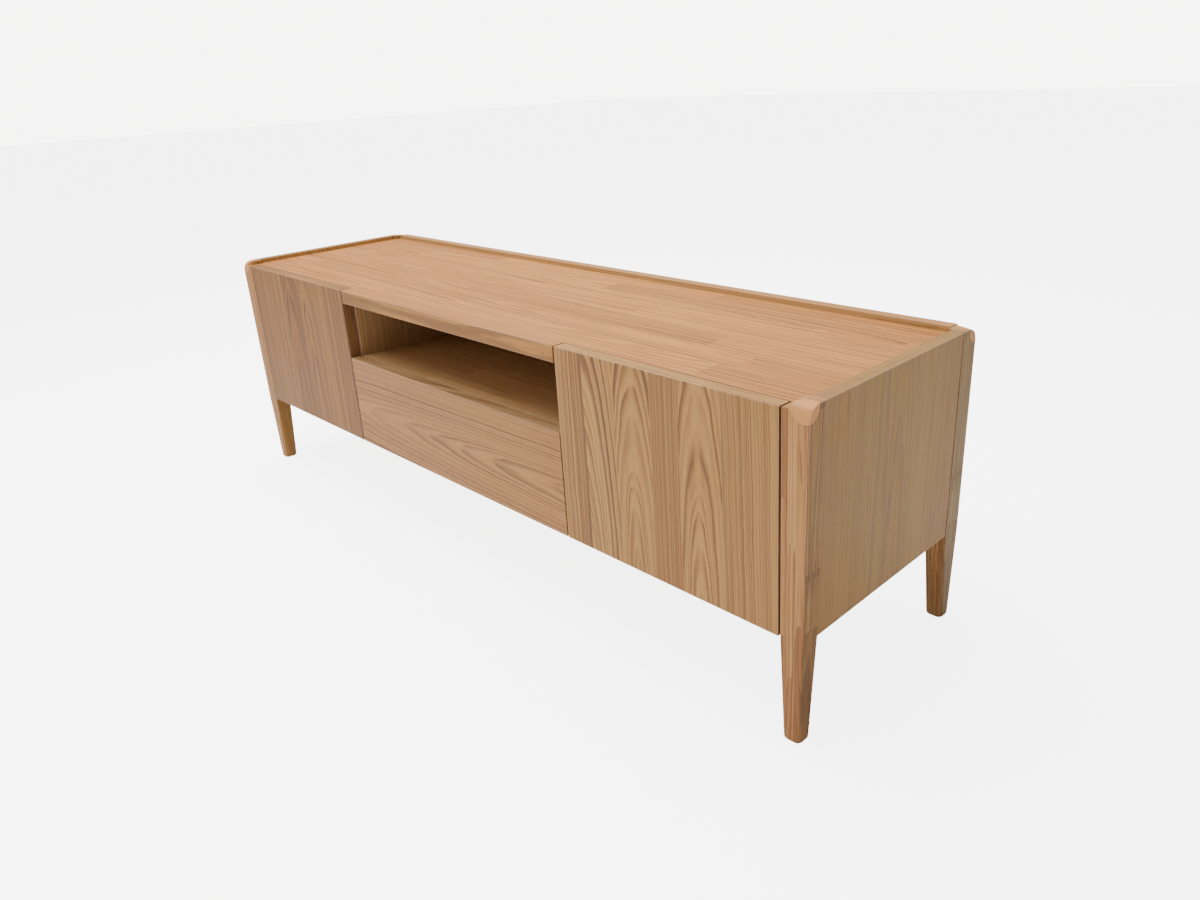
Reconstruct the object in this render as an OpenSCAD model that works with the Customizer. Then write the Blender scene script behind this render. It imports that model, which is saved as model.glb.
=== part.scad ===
// Low media console in solid wood: two push-open doors, an open niche and a wide
// drawer in a case that hangs between four tapered corner legs.
// Origin: centre of the footprint on the floor. +X to the right, +Y to the back, +Z up.

/* [Overall] */
// Width across the legs at the raised lip
body_w = 1500; // [1200:10:1800]
// Depth from the leg fronts to the leg backs
body_d = 400; // [330:5:480]
// Height from the floor to the top of the raised lip
body_h = 465; // [400:1:560]
// Height of the underside of the case above the floor
case_z = 151; // [100:1:200]
// Height of the lip above the top surface
lip_h = 8; // [4:0.5:12]

/* [Panels] */
// Thickness of the top panel
top_t = 25; // [18:0.5:32]
// Thickness of the side panels
side_t = 20; // [16:0.5:24]
// Thickness of the bottom panel
bottom_t = 18; // [15:0.5:25]
// Thickness of the partitions
partition_t = 20; // [16:0.5:24]
// Thickness of the niche floor and the loose shelves
shelf_t = 18; // [12:0.5:22]
// Thickness of the back panel
back_t = 8; // [5:0.5:12]
// How far the back panel is set in from the leg backs
back_inset = 6; // [2:0.5:15]
// Thickness of the lip rail along the back
rail_t = 20; // [14:0.5:26]
// Gap at each end of the lip rail
rail_gap = 2.5; // [0.5:0.1:4]
// Chamfer that marks the seam between side panel and rear leg
seam_groove = 2.5; // [0.5:0.1:4]
// Diameter of the cable hole behind the niche
cable_hole_d = 50; // [30:1:60]

/* [Legs] */
// Width of a leg at the lip
leg_w = 39; // [34:0.5:50]
// Width of the raised outer part of a leg head
head_w = 26; // [22:0.5:30]
// Depth of a front leg
front_leg_d = 32; // [28:0.5:45]
// Depth of a rear leg
rear_leg_d = 36; // [30:0.5:45]
// Width of a leg at the floor
foot_w = 28; // [22:0.5:34]
// Depth of a leg at the floor
foot_d = 27; // [22:0.5:32]
// How far the outer faces lean in from the lip to the floor
leg_lean = 9; // [0:0.5:15]
// Rounding of a leg head at its outer side
head_r = 20; // [10:0.5:24]
// Width over which the head rounding fades towards the inside
head_fade = 12; // [6:0.5:16]
// Rounding of a foot's upright edges, which fades out up to the case
foot_edge_r = 9; // [4:0.5:10]
// Rounding of a leg where it meets the floor
foot_r = 4; // [1:0.5:5]
// Side of the small notch in the inner front corner of a rear leg head
notch_w = 6; // [3:0.5:8]

/* [Doors and drawer front] */
// Thickness of the doors and the drawer front
door_t = 20; // [16:0.5:24]
// Visible gap round the doors and the drawer front
front_gap = 3.5; // [3:0.1:5]
// Free space behind closed fronts that lets them be pushed
press_gap = 2; // [1.5:0.1:3]
// Clear width of the niche and the drawer bay
bay_w = 608; // [450:2:700]
// How far the drawer front laps over each partition
front_lap = 4.5; // [3:0.5:6]
// Height of the drawer front
drawer_front_h = 172; // [140:1:200]

/* [Hinges] */
// Height of each hinge centre above or below its door edge
hinge_end = 60; // [45:1:90]
// Distance of the hinge axis behind the door front
axis_in = 2.5; // [1.5:0.1:3]
// Diameter of a hinge cup
cup_d = 35; // [30:1:40]
// Depth of a hinge cup
cup_depth = 12; // [11:0.5:13]
// Wood left between a cup and the door edge
cup_edge = 5; // [4:0.5:7]
// Free space between a hinge link's tip and the cup's wall
tip_room = 2; // [1.5:0.1:3]
// Width of the batten that carries the hinge plates
batten_d = 60; // [50:1:80]

/* [Drawer box] */
// Thickness of the drawer sides, box front and back
box_t = 12; // [10:0.5:16]
// Free height between the drawer box and the niche floor
box_drop = 22; // [10:1:30]
// Height of the drawer box above the bottom panel
box_lift = 14; // [8:1:22]
// Free depth behind the drawer box, which its push latch takes up
box_room = 36; // [34:1:60]
// Thickness of the drawer bottom
box_bottom_t = 6; // [3:0.5:9]
// Depth of the groove that holds the drawer bottom
groove = 5; // [3:0.5:6]
// Thickness of a runner pair between partition and drawer box
runner_w = 12.7; // [12:0.1:14]
// Height of a runner
runner_h = 35; // [30:1:45]

/* [Fittings] */
// Diameter of the wooden dowels
dowel_d = 8; // [6:1:10]
// Length of the wooden dowels
dowel_l = 30; // [24:1:34]
// Diameter of the shelf pins
pin_d = 5; // [4:0.5:6]
// Free space between a hinge batten and the loose shelf behind it
shelf_room = 18; // [4:1:60]
// Diameter of a push latch plunger
plunger_d = 8; // [6:0.5:10]
// Diameter of the screw heads
screw_head_d = 7; // [6:0.5:8]

/* [Hidden] */

wood = "burlywood";
side_wood = "tan";
edge_wood = "peru";
dark_wood = "sienna";
steel = "silver";
zinc = "lightsteelblue";
grey_plastic = "gainsboro";
arc_fn = 96;
bore_fn = 48;
eps = 0.01;
dowel_fit = 0.05;
run_fit = 0.06;
loose_fit = 1;

// Heights of the case
top_z = body_h - lip_h;
ceiling_z = top_z - top_t;
floor_z = case_z + bottom_t;
case_h = top_z - case_z;
niche_z = case_z + drawer_front_h;
shelf_z = (floor_z + ceiling_z - shelf_t) / 2;

// Depths, from the front (-Y) to the back (+Y)
front_y = -body_d / 2;
rear_y = body_d / 2;
case_y = front_y + door_t + press_gap;
front_leg_y = front_y + front_leg_d;
rear_leg_y = rear_y - rear_leg_d;
rail_y = rear_y - rail_t;
back_y = rear_y - back_inset - back_t;
shelf_y = front_leg_y + batten_d + shelf_room;

// Half widths, from the middle outwards
bay_x = bay_w / 2;
partition_x = bay_x + partition_t;
front_x = bay_x + front_lap;
door_in_x = front_x + front_gap;
leg_x = body_w / 2 - leg_w;
head_x = body_w / 2 - head_w;
door_out_x = leg_x - front_gap;

function outer_x(z) = body_w / 2 - leg_lean * (body_h - z) / body_h;
function inner_x(z) = outer_x(z) - side_t;

// Hinges: the cup sits in the door back, the link turns on the arm's nose
door_back_y = front_y + door_t;
hinge_zs = [case_z + hinge_end, top_z - hinge_end];
cup_x = door_out_x - cup_edge - cup_d / 2;
cup_wall = 1;
link_t = 3;
link_h = 9;
link_eye_d = 6;
link_pin_d = 3;
nose_x = door_out_x - door_t + axis_in - link_eye_d / 2 + 1;
nose_y = door_back_y + link_eye_d / 2;
tip_x = cup_x - cup_d / 2 + cup_wall + link_t / 2 + tip_room;
tip_y = door_back_y - cup_depth + cup_wall + tip_room;
link_l = norm([tip_x - nose_x, tip_y - nose_y]);
link_rest_angle = atan2(tip_y - nose_y, tip_x - nose_x);
arm_t = 6;
arm_h = 14;
plate_t = 5;
plate_h = 46;
plate_l = 24;
plate_in = 16;
plate_y = front_leg_y + plate_in;
arm_tail = 12;
arm_end_y = plate_y + plate_l + arm_tail;
screw_spread = 32;
screw_d = 4;
screw_l = 14;

// Drawer box and runners
box_half = bay_x - runner_w;
box_y = door_back_y;
box_end_y = back_y - box_room;
box_l = box_end_y - box_y;
box_z = floor_z + box_lift;
box_h = niche_z - shelf_t - box_drop - box_z;
box_bottom_in = 8;
box_bottom_z = box_z + box_bottom_in;
runner_up = 40;
runner_z = box_z + runner_up;
sheet_t = 1.2;
race_gap = 1.3;
runner_in = 2;
runner_y = case_y + runner_in;
runner_l = box_l - 3 * runner_in;
runner_end = 30;
runner_screw_ys = [runner_y + runner_end, runner_y + runner_l / 2, runner_y + runner_l - runner_end];

// Push latches: housing, plunger and the steel strike that the magnet holds
strike_t = 1.2;
latch_gap = 0.3;
latch_w = 18;
latch_h = 14;
latch_l = 46;
plunger_l = 30;
latch_z = case_z + case_h / 2;
latch_tip_y = door_back_y + strike_t + latch_gap;
latch_y = case_y + 2;
latch_x = partition_x + latch_w / 2;
drawer_tip_y = box_end_y + strike_t + latch_gap;
drawer_latch_y = drawer_tip_y + 2;
drawer_latch_l = back_y - drawer_latch_y;
drawer_latch_z = box_z + box_h / 2;

// Dowels: [x, y, z] of the joint face, and the turn that lays each along its axis
peg_end = 50;
dowel_ys = [case_y + peg_end, 0, back_y - peg_end];
bottom_peg_z = case_z + bottom_t / 2;
post_peg_zs = [case_z + peg_end, (case_z + ceiling_z) / 2, ceiling_z - 20];
shelf_peg_z = niche_z - shelf_t / 2;
rail_peg_z = top_z - top_t / 2;
rail_peg_xs = [-0.8, -0.4, 0, 0.4, 0.8] * head_x;
up_peg_in = 12;
flat_peg_in = 12;

module box_at(x0, x1, y0, y1, z0, z1) {
    translate([x0, y0, z0]) cube([x1 - x0, y1 - y0, z1 - z0]);
}

module mirrored(side) {
    mirror([side < 0 ? 1 : 0, 0, 0]) children();
}

// The space between the leaning inner faces of the two side panels
module between_sides() {
    bottom_x = inner_x(case_z);
    upper_x = inner_x(body_h);
    translate([0, rear_y, 0]) rotate([90, 0, 0]) linear_extrude(body_d)
        polygon([[-bottom_x, case_z], [bottom_x, case_z], [upper_x, body_h], [-upper_x, body_h]]);
}

// ---- Wooden dowels and their holes -------------------------------------------------

module peg(d, l) {
    cylinder(d = d, h = l, center = true, $fn = bore_fn);
}

// Upright dowels in both ends of a partition
module partition_pegs(d, l) {
    for (y = dowel_ys) {
        translate([bay_x + partition_t / 2, y, ceiling_z + up_peg_in - dowel_l / 2]) peg(d, l);
        translate([bay_x + partition_t / 2, y, floor_z - up_peg_in + dowel_l / 2]) peg(d, l);
    }
}

// Dowels between the niche floor and a partition
module niche_pegs(d, l) {
    for (y = dowel_ys)
        translate([bay_x + flat_peg_in - dowel_l / 2, y, shelf_peg_z]) rotate([0, 90, 0]) peg(d, l);
}

// Dowels between the bottom panel and a side panel
module bottom_pegs(d, l) {
    for (y = dowel_ys)
        translate([inner_x(bottom_peg_z) + flat_peg_in - dowel_l / 2, y, bottom_peg_z])
            rotate([0, 90, 0]) peg(d, l);
}

// Dowels between a side panel and its two legs
module post_pegs(d, l) {
    for (z = post_peg_zs, y = [front_leg_y, rear_leg_y])
        translate([outer_x(z) - side_t / 2, y, z]) rotate([90, 0, 0]) peg(d, l);
}

// Dowels between the top panel and the lip rail
module rail_pegs(d, l) {
    for (x = rail_peg_xs)
        translate([x, rail_y + flat_peg_in - dowel_l / 2, rail_peg_z]) rotate([90, 0, 0]) peg(d, l);
}

module case_dowels() {
    peg_d = dowel_d - 2 * dowel_fit;
    peg_l = dowel_l - 1;
    color(edge_wood) {
        for (side = [-1, 1]) mirrored(side) {
            partition_pegs(peg_d, peg_l);
            niche_pegs(peg_d, peg_l);
            bottom_pegs(peg_d, peg_l);
            post_pegs(peg_d, peg_l);
        }
        rail_pegs(peg_d, peg_l);
    }
}

// ---- Case --------------------------------------------------------------------------

module top_outline() {
    polygon([[-front_x, front_y], [front_x, front_y], [front_x, case_y], [head_x, case_y],
             [head_x, front_leg_y], [body_w / 2, front_leg_y], [body_w / 2, rear_leg_y], [head_x, rear_leg_y],
             [head_x, rail_y], [-head_x, rail_y], [-head_x, rear_leg_y], [-body_w / 2, rear_leg_y],
             [-body_w / 2, front_leg_y], [-head_x, front_leg_y], [-head_x, case_y], [-front_x, case_y]]);
}

module top_panel() {
    color(wood) difference() {
        intersection() {
            translate([0, 0, ceiling_z]) linear_extrude(top_t) top_outline();
            between_sides();
        }
        for (side = [-1, 1]) mirrored(side) partition_pegs(dowel_d, dowel_l);
        rail_pegs(dowel_d, dowel_l);
    }
}

module back_rail() {
    end_x = head_x - rail_gap;
    color(edge_wood) difference() {
        box_at(-end_x, end_x, rail_y, rear_y, ceiling_z, body_h);
        rail_pegs(dowel_d, dowel_l);
    }
}

module side_panel(side) {
    bottom_out = outer_x(case_z);
    upper_out = outer_x(body_h);
    panel_l = rear_leg_y - front_leg_y;
    color(side_wood) mirrored(side) difference() {
        translate([0, rear_leg_y, 0]) rotate([90, 0, 0]) linear_extrude(panel_l)
            polygon([[bottom_out - side_t, case_z], [bottom_out, case_z], [upper_out, body_h],
                     [upper_out - side_t, body_h]]);
        translate([0, rear_leg_y, case_z - eps]) seam_cut();
        post_pegs(dowel_d, dowel_l);
        bottom_pegs(dowel_d, dowel_l);
        shelf_pin_holes(inner_x(shelf_z));
    }
}

// A chamfer down the rear edge of a side panel's outer face, leaning with it
module seam_cut() {
    lean_angle = atan(leg_lean / body_h);
    translate([outer_x(case_z), 0, 0]) rotate([0, lean_angle, 0]) rotate([0, 0, 45])
        cube([2 * seam_groove, 2 * seam_groove, 3 * body_h] / sqrt(2), center = true);
}

// The side view of a leg from the case bottom to the lip, with a rounded outer top edge
module head_profile(depth, r) {
    polygon(concat(
        [[0, case_z], [depth, case_z], [depth, body_h]],
        [for (step = [0 : 12]) let (a = 90 + 90 * step / 12) [r + r * cos(a), body_h - r + r * sin(a)]]));
}

// A slice of that side view, x mm from the middle of the cabinet
module head_slice(x, thick, depth, r) {
    translate([x, front_y, 0]) rotate([90, 0, 90]) linear_extrude(thick) head_profile(depth, r);
}

// One right-hand front leg of any depth; rear legs are the same piece turned round
module leg_blank(depth) {
    hull() {
        head_slice(leg_x, leg_w - head_w + 1, depth, lip_h);
        intersection() {
            head_slice(head_x + head_fade, head_w, depth, head_r);
            leaning_slab(depth);
        }
        for (a = [0 : 30 : 90]) foot_slice(foot_r * (1 - sin(a)), foot_r * (1 - cos(a)));
    }
}

// Everything inside the leaning outer face
module leaning_slab(depth) {
    translate([0, front_y + depth, 0]) rotate([90, 0, 0]) linear_extrude(depth)
        polygon([[0, 0], [outer_x(0), 0], [outer_x(body_h), body_h], [0, body_h]]);
}

// The foot's outline, z above the floor and set in all round
module foot_slice(z, inset) {
    low = foot_edge_r;
    translate([outer_x(0) - foot_w, front_y, z]) linear_extrude(eps)
        offset(r = foot_edge_r - inset, $fn = bore_fn)
            polygon([[low, low], [foot_w - low, low], [foot_w - low, foot_d - low], [low, foot_d - low]]);
}

// The corner of a front leg head that the top panel and the door leave free
module front_head_cut() {
    box_at(leg_x - 1, head_x, case_y, front_leg_y + 1, ceiling_z, body_h + 1);
    box_at(leg_x - 1, head_x, front_y - 1, case_y + eps, top_z, body_h + 1);
}

module front_leg(side) {
    color(edge_wood) mirrored(side) difference() {
        leg_blank(front_leg_d);
        front_head_cut();
        post_pegs(dowel_d, dowel_l);
    }
}

module rear_leg(side) {
    color(edge_wood) mirrored(side) difference() {
        mirror([0, 1, 0]) leg_blank(rear_leg_d);
        box_at(leg_x - 1, head_x, rear_leg_y - 1, rear_y + 1, ceiling_z, body_h + 1);
        translate([head_x, rear_leg_y, top_z + body_h / 2])
            cube([2 * notch_w, 2 * notch_w, body_h], center = true);
        post_pegs(dowel_d, dowel_l);
    }
}

module bottom_panel() {
    color(side_wood) difference() {
        intersection() {
            box_at(-body_w / 2, body_w / 2, case_y, back_y, case_z, floor_z);
            between_sides();
        }
        for (side = [-1, 1]) mirrored(side) {
            box_at(leg_x, body_w, case_y - 1, front_leg_y, case_z - 1, floor_z + 1);
            box_at(leg_x, body_w, rear_leg_y, rear_y, case_z - 1, floor_z + 1);
            partition_pegs(dowel_d, dowel_l);
            bottom_pegs(dowel_d, dowel_l);
        }
        for (x = back_screw_xs) back_screw_hole(x, bottom_peg_z);
    }
}

module partition(side) {
    color(side_wood) mirrored(side) difference() {
        box_at(bay_x, partition_x, case_y, back_y, floor_z, ceiling_z);
        partition_pegs(dowel_d, dowel_l);
        niche_pegs(dowel_d, dowel_l);
        shelf_pin_holes(partition_x);
        for (y = runner_screw_ys) runner_screw_hole(y);
        for (z = back_screw_zs) back_screw_hole(bay_x + partition_t / 2, z);
    }
}

module niche_shelf() {
    color(wood) difference() {
        box_at(-bay_x, bay_x, case_y, back_y, niche_z - shelf_t, niche_z);
        for (side = [-1, 1]) mirrored(side) niche_pegs(dowel_d, dowel_l);
    }
}

// ---- Back panel --------------------------------------------------------------------

back_screw_xs = [-0.8, -0.4, 0, 0.4, 0.8] * leg_x;
back_screw_end = 40;
back_screw_zs = [floor_z + back_screw_end, ceiling_z - 2 * back_screw_end];
cable_hole_z = (niche_z + ceiling_z) / 2;

module back_panel() {
    color(dark_wood) difference() {
        box_at(-leg_x, leg_x, back_y, back_y + back_t, case_z, ceiling_z);
        translate([0, back_y - 1, cable_hole_z]) rotate([-90, 0, 0])
            cylinder(d = cable_hole_d, h = back_t + 2, $fn = arc_fn);
        back_screw_places() back_screw_bore();
    }
}

module back_screw_places() {
    for (x = back_screw_xs) translate([x, back_y + back_t, bottom_peg_z]) children();
    for (side = [-1, 1], z = back_screw_zs)
        translate([side * (bay_x + partition_t / 2), back_y + back_t, z]) children();
}

module back_screw_hole(x, z) {
    translate([x, back_y + back_t, z]) back_screw_bore();
}

module back_screw_bore() {
    rotate([90, 0, 0]) {
        cylinder(d = screw_d, h = back_t + screw_l + 1, $fn = bore_fn);
        translate([0, 0, -1]) cylinder(d = screw_head_d, h = 4, $fn = bore_fn);
    }
}

module back_panel_screws() {
    color(zinc) back_screw_places() rotate([90, 0, 0]) screw(back_t + screw_l, 3);
}

// A pan-head screw: head from z = 0 to its height, shank beyond, slot of a cross driver
module screw(length, head_t) {
    difference() {
        union() {
            cylinder(d = screw_head_d - 0.4, h = head_t, $fn = bore_fn);
            cylinder(d = screw_d - 2 * dowel_fit, h = length, $fn = bore_fn);
        }
        for (turn = [0, 90]) rotate([0, 0, turn])
            translate([0, 0, 0.5]) cube([3.4, 0.7, 1 + 2 * eps], center = true);
    }
}

// ---- Loose shelves -----------------------------------------------------------------

pin_end = 40;
pin_ys = [shelf_y + pin_end, back_y - pin_end];
pin_in = 9;

module shelf_pin_holes(face_x) {
    for (y = pin_ys) translate([face_x, y, shelf_z - pin_d / 2]) rotate([0, 90, 0])
        cylinder(d = pin_d, h = 2 * pin_in + 1, center = true, $fn = bore_fn);
}

// A shelf with its rear corner cut out round the leg
module shelf(side) {
    end_x = inner_x(shelf_z) - loose_fit;
    color(wood) mirrored(side) difference() {
        box_at(partition_x + loose_fit, end_x, shelf_y, back_y - loose_fit, shelf_z, shelf_z + shelf_t);
        translate([leg_x - loose_fit, rear_leg_y - loose_fit, shelf_z - 1])
            cube([leg_w + loose_fit, rear_leg_d, shelf_t + 2]);
    }
}

module shelf_pins() {
    color(steel) for (side = [-1, 1]) mirrored(side)
        for (y = pin_ys, face_x = [partition_x, inner_x(shelf_z)])
            translate([face_x, y, shelf_z - pin_d / 2]) rotate([0, 90, 0])
                cylinder(d = pin_d - 2 * dowel_fit, h = 2 * pin_in, center = true, $fn = bore_fn);
}

// ---- Doors and their concealed hinges ----------------------------------------------

module door(side) {
    color(wood) mirrored(side) difference() {
        box_at(door_in_x, door_out_x, front_y, door_back_y, case_z, top_z);
        for (z = hinge_zs) {
            translate([cup_x, door_back_y - cup_depth, z]) rotate([-90, 0, 0])
                cylinder(d = cup_d, h = cup_depth + 1, $fn = arc_fn);
            cup_screw_places(z) rotate([90, 0, 0]) cylinder(d = screw_d, h = screw_l, $fn = bore_fn);
        }
        translate([latch_x, door_back_y, latch_z]) rotate([90, 0, 0])
            cylinder(d = screw_d, h = screw_l, $fn = bore_fn);
    }
}

cup_ear = 24;

module cup_screw_places(z) {
    for (up = [-1, 1]) translate([cup_x, door_back_y, z + up * cup_ear]) children();
}

module hinge_cups(side) {
    color(steel) mirrored(side) for (z = hinge_zs) difference() {
        union() {
            translate([cup_x, door_back_y - cup_depth, z]) rotate([-90, 0, 0])
                cylinder(d = cup_d - 2 * dowel_fit, h = cup_depth, $fn = arc_fn);
            box_at(cup_x - cup_d * 0.3, cup_x + cup_d * 0.3, door_back_y, door_back_y + cup_wall,
                   z - cup_ear - 5, z + cup_ear + 5);
        }
        translate([cup_x, door_back_y - cup_depth + cup_wall, z]) rotate([-90, 0, 0])
            cylinder(d = cup_d - 2 * cup_wall, h = cup_depth + cup_wall, $fn = arc_fn);
        cup_screw_places(z) rotate([90, 0, 0])
            cylinder(d = screw_d, h = 4 * cup_wall, center = true, $fn = bore_fn);
    }
}

module cup_screws(side) {
    color(zinc) mirrored(side) for (z = hinge_zs) cup_screw_places(z)
        translate([0, cup_wall + 2, 0]) rotate([90, 0, 0]) screw(screw_l, 2);
}

// A wooden packer that brings the hinge plates level with the leg's inner face
module hinge_batten(side) {
    color(edge_wood) mirrored(side) difference() {
        intersection() {
            box_at(leg_x, body_w / 2, front_leg_y, front_leg_y + batten_d, floor_z, ceiling_z);
            between_sides();
        }
        plate_screw_places() rotate([0, 90, 0]) cylinder(d = screw_d, h = screw_l + 1, $fn = bore_fn);
    }
}

module plate_screw_places() {
    for (z = hinge_zs, up = [-1, 1])
        translate([leg_x, plate_y + plate_l / 2, z + up * screw_spread / 2]) children();
}

module hinge_plates(side) {
    color(steel) mirrored(side) difference() {
        for (z = hinge_zs)
            box_at(leg_x - plate_t, leg_x, plate_y, plate_y + plate_l, z - plate_h / 2, z + plate_h / 2);
        plate_screw_places() rotate([0, 90, 0])
            cylinder(d = screw_d, h = 3 * plate_t, center = true, $fn = bore_fn);
        plate_screw_places() translate([-plate_t, 0, 0]) rotate([0, 90, 0])
            cylinder(d = screw_head_d, h = 4, center = true, $fn = bore_fn);
    }
}

module plate_screws() {
    color(zinc) for (side = [-1, 1]) mirrored(side)
        plate_screw_places() translate([-plate_t, 0, 0]) rotate([0, 90, 0]) screw(plate_t + screw_l - 1, 2);
}

// The arm lies on the plate and bends inwards to its nose, which holds the link's pin
module hinge_arms(side) {
    arm_x = leg_x - plate_t - arm_t;
    ear_t = 1.5;
    ear_z = link_h / 2 + 0.5;
    color(steel) mirrored(side) for (z = hinge_zs) {
        box_at(arm_x, leg_x - plate_t, nose_y + link_eye_d, arm_end_y, z - arm_h / 2, z + arm_h / 2);
        for (up = [-1, 1]) translate([0, 0, z + up * (ear_z + ear_t / 2)]) {
            translate([nose_x, nose_y, 0]) cylinder(d = link_eye_d, h = ear_t, center = true, $fn = bore_fn);
            box_at(nose_x - link_eye_d / 2, arm_x + 1, nose_y, nose_y + 2 * link_eye_d,
                   -ear_t / 2, ear_t / 2);
            box_at(arm_x, leg_x - plate_t - 1, nose_y + link_eye_d, nose_y + 2 * link_eye_d,
                   -ear_t / 2, ear_t / 2);
        }
        translate([nose_x, nose_y, z])
            cylinder(d = link_pin_d, h = 2 * (ear_z + ear_t), center = true, $fn = bore_fn);
    }
}

module hinge_links(side) {
    color(zinc) mirrored(side) for (z = hinge_zs)
        translate([nose_x, nose_y, z]) rotate([0, 0, link_rest_angle]) difference() {
            union() {
                cylinder(d = link_eye_d - 1, h = link_h, center = true, $fn = bore_fn);
                translate([link_l / 2, 0, 0]) cube([link_l, link_t - 1, link_h], center = true);
                translate([link_l, 0, 0]) cylinder(d = link_t, h = link_h, center = true, $fn = bore_fn);
            }
            cylinder(d = link_pin_d + 2 * run_fit, h = 2 * link_h, center = true, $fn = bore_fn);
        }
}

// ---- Push latches ------------------------------------------------------------------

// Housing from y = 0 back to its length, with a blind bore for the plunger
module latch_body(length) {
    difference() {
        translate([0, length / 2, 0]) cube([latch_w, length, latch_h], center = true);
        translate([0, -1, 0]) rotate([-90, 0, 0])
            cylinder(d = plunger_d + 2 * run_fit, h = length - 4, $fn = bore_fn);
    }
}

// Plunger with a magnet tip; y = 0 is the tip's face
module latch_plunger(length) {
    rotate([-90, 0, 0]) cylinder(d = plunger_d, h = length, $fn = bore_fn);
}

module door_latch_body(side) {
    color(grey_plastic) mirrored(side) translate([latch_x, latch_y, latch_z]) latch_body(latch_l);
}

module door_latch_plunger(side) {
    color(zinc) mirrored(side) translate([latch_x, latch_tip_y, latch_z]) latch_plunger(plunger_l);
}

module strike_plate(w, h) {
    translate([0, strike_t / 2, 0]) cube([w, strike_t, h], center = true);
}

module door_strike(side) {
    color(steel) mirrored(side) translate([latch_x, door_back_y, latch_z]) strike_with_pin();
}

module strike_with_pin() {
    strike_plate(latch_w, latch_w);
    translate([0, strike_t, 0]) rotate([90, 0, 0])
        cylinder(d = screw_d - 2 * dowel_fit, h = strike_t + screw_l - 4, $fn = bore_fn);
}

module drawer_latch_body() {
    color(grey_plastic) translate([0, drawer_latch_y, drawer_latch_z]) latch_body(drawer_latch_l);
}

module drawer_latch_plunger() {
    color(zinc) translate([0, drawer_tip_y, drawer_latch_z]) latch_plunger(drawer_latch_l - 6);
}

module drawer_strike() {
    color(steel) translate([0, box_end_y, drawer_latch_z]) strike_plate(latch_w, latch_w);
}

// ---- Drawer ------------------------------------------------------------------------

module drawer_front() {
    color(wood) difference() {
        box_at(-front_x, front_x, front_y, door_back_y, case_z, niche_z);
        front_screw_places() front_screw_bore();
    }
}

module front_screw_places() {
    for (x = [-0.75, 0.75] * box_half, z = [box_z + 25, box_z + box_h - 20])
        translate([x, box_y + box_t, z]) children();
}

module front_screw_bore() {
    rotate([90, 0, 0]) cylinder(d = screw_d, h = box_t + screw_l - 1, $fn = bore_fn);
}

module drawer_front_screws() {
    color(zinc) front_screw_places() translate([0, 2, 0]) rotate([90, 0, 0]) screw(box_t + screw_l, 2);
}

module drawer_bottom_board() {
    box_at(-box_half + box_t - groove, box_half - box_t + groove, box_y + box_t - groove,
           box_end_y - box_t + groove, box_bottom_z, box_bottom_z + box_bottom_t);
}

module drawer_bottom() {
    color(side_wood) drawer_bottom_board();
}

module drawer_side(side) {
    color(side_wood) difference() {
        mirrored(side) box_at(box_half - box_t, box_half, box_y, box_end_y, box_z, box_z + box_h);
        drawer_bottom_board();
        mirrored(side) for (y = runner_screw_ys) runner_screw_hole(y);
    }
}

module drawer_cross(y) {
    box_at(-box_half + box_t, box_half - box_t, y, y + box_t, box_z, box_z + box_h);
}

module drawer_box_front() {
    color(side_wood) difference() {
        drawer_cross(box_y);
        drawer_bottom_board();
        front_screw_places() front_screw_bore();
    }
}

module drawer_back() {
    color(side_wood) difference() {
        drawer_cross(box_end_y - box_t);
        drawer_bottom_board();
    }
}

// ---- Drawer runners ----------------------------------------------------------------

// A channel seen end on: web against x = 0, flanges reaching to depth, open towards -X
module channel(depth, height) {
    difference() {
        translate([-depth, -height / 2]) square([depth, height]);
        translate([-depth - 1, sheet_t - height / 2]) square([depth + 1 - sheet_t, height - 2 * sheet_t]);
    }
}

module runner_at(x) {
    translate([x, runner_y + runner_l, runner_z]) rotate([90, 0, 0]) linear_extrude(runner_l) children();
}

middle_h = runner_h - 2 * (sheet_t + race_gap);
inner_h = middle_h - 2 * (sheet_t + race_gap);
channel_d = runner_w - 3 * sheet_t;

module case_runners() {
    color(zinc) for (side = [-1, 1]) mirrored(side) difference() {
        runner_at(bay_x) channel(channel_d, runner_h);
        for (y = runner_screw_ys) runner_screw_hole(y);
    }
}

module middle_runners() {
    color(steel) for (side = [-1, 1]) mirrored(side)
        runner_at(bay_x - sheet_t - race_gap - 1) channel(channel_d - sheet_t, middle_h);
}

module drawer_runners() {
    color(zinc) for (side = [-1, 1]) mirrored(side) difference() {
        runner_at(box_half) mirror([1, 0]) channel(channel_d - 2 * sheet_t, inner_h);
        for (y = runner_screw_ys) runner_screw_hole(y);
    }
}

// Screws that hold a runner: they point both ways from its middle
module runner_screw_hole(y) {
    translate([bay_x - runner_w / 2, y, runner_z]) rotate([0, 90, 0])
        cylinder(d = screw_d, h = runner_w + 2 * runner_screw_l, center = true, $fn = bore_fn);
}

runner_screw_l = 9;
runner_head_t = 0.9;

module runner_screw(length) {
    cylinder(d = screw_head_d, h = runner_head_t, $fn = bore_fn);
    cylinder(d = screw_d - 2 * dowel_fit, h = length, $fn = bore_fn);
}

module case_runner_screws() {
    color(zinc) for (side = [-1, 1]) mirrored(side) for (y = runner_screw_ys)
        translate([bay_x - sheet_t - runner_head_t, y, runner_z]) rotate([0, 90, 0])
            runner_screw(runner_screw_l + runner_head_t);
}

module drawer_runner_screws() {
    color(zinc) for (side = [-1, 1]) mirrored(side) for (y = runner_screw_ys)
        translate([box_half + sheet_t + runner_head_t, y, runner_z]) rotate([0, -90, 0])
            runner_screw(runner_screw_l + runner_head_t);
}

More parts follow.
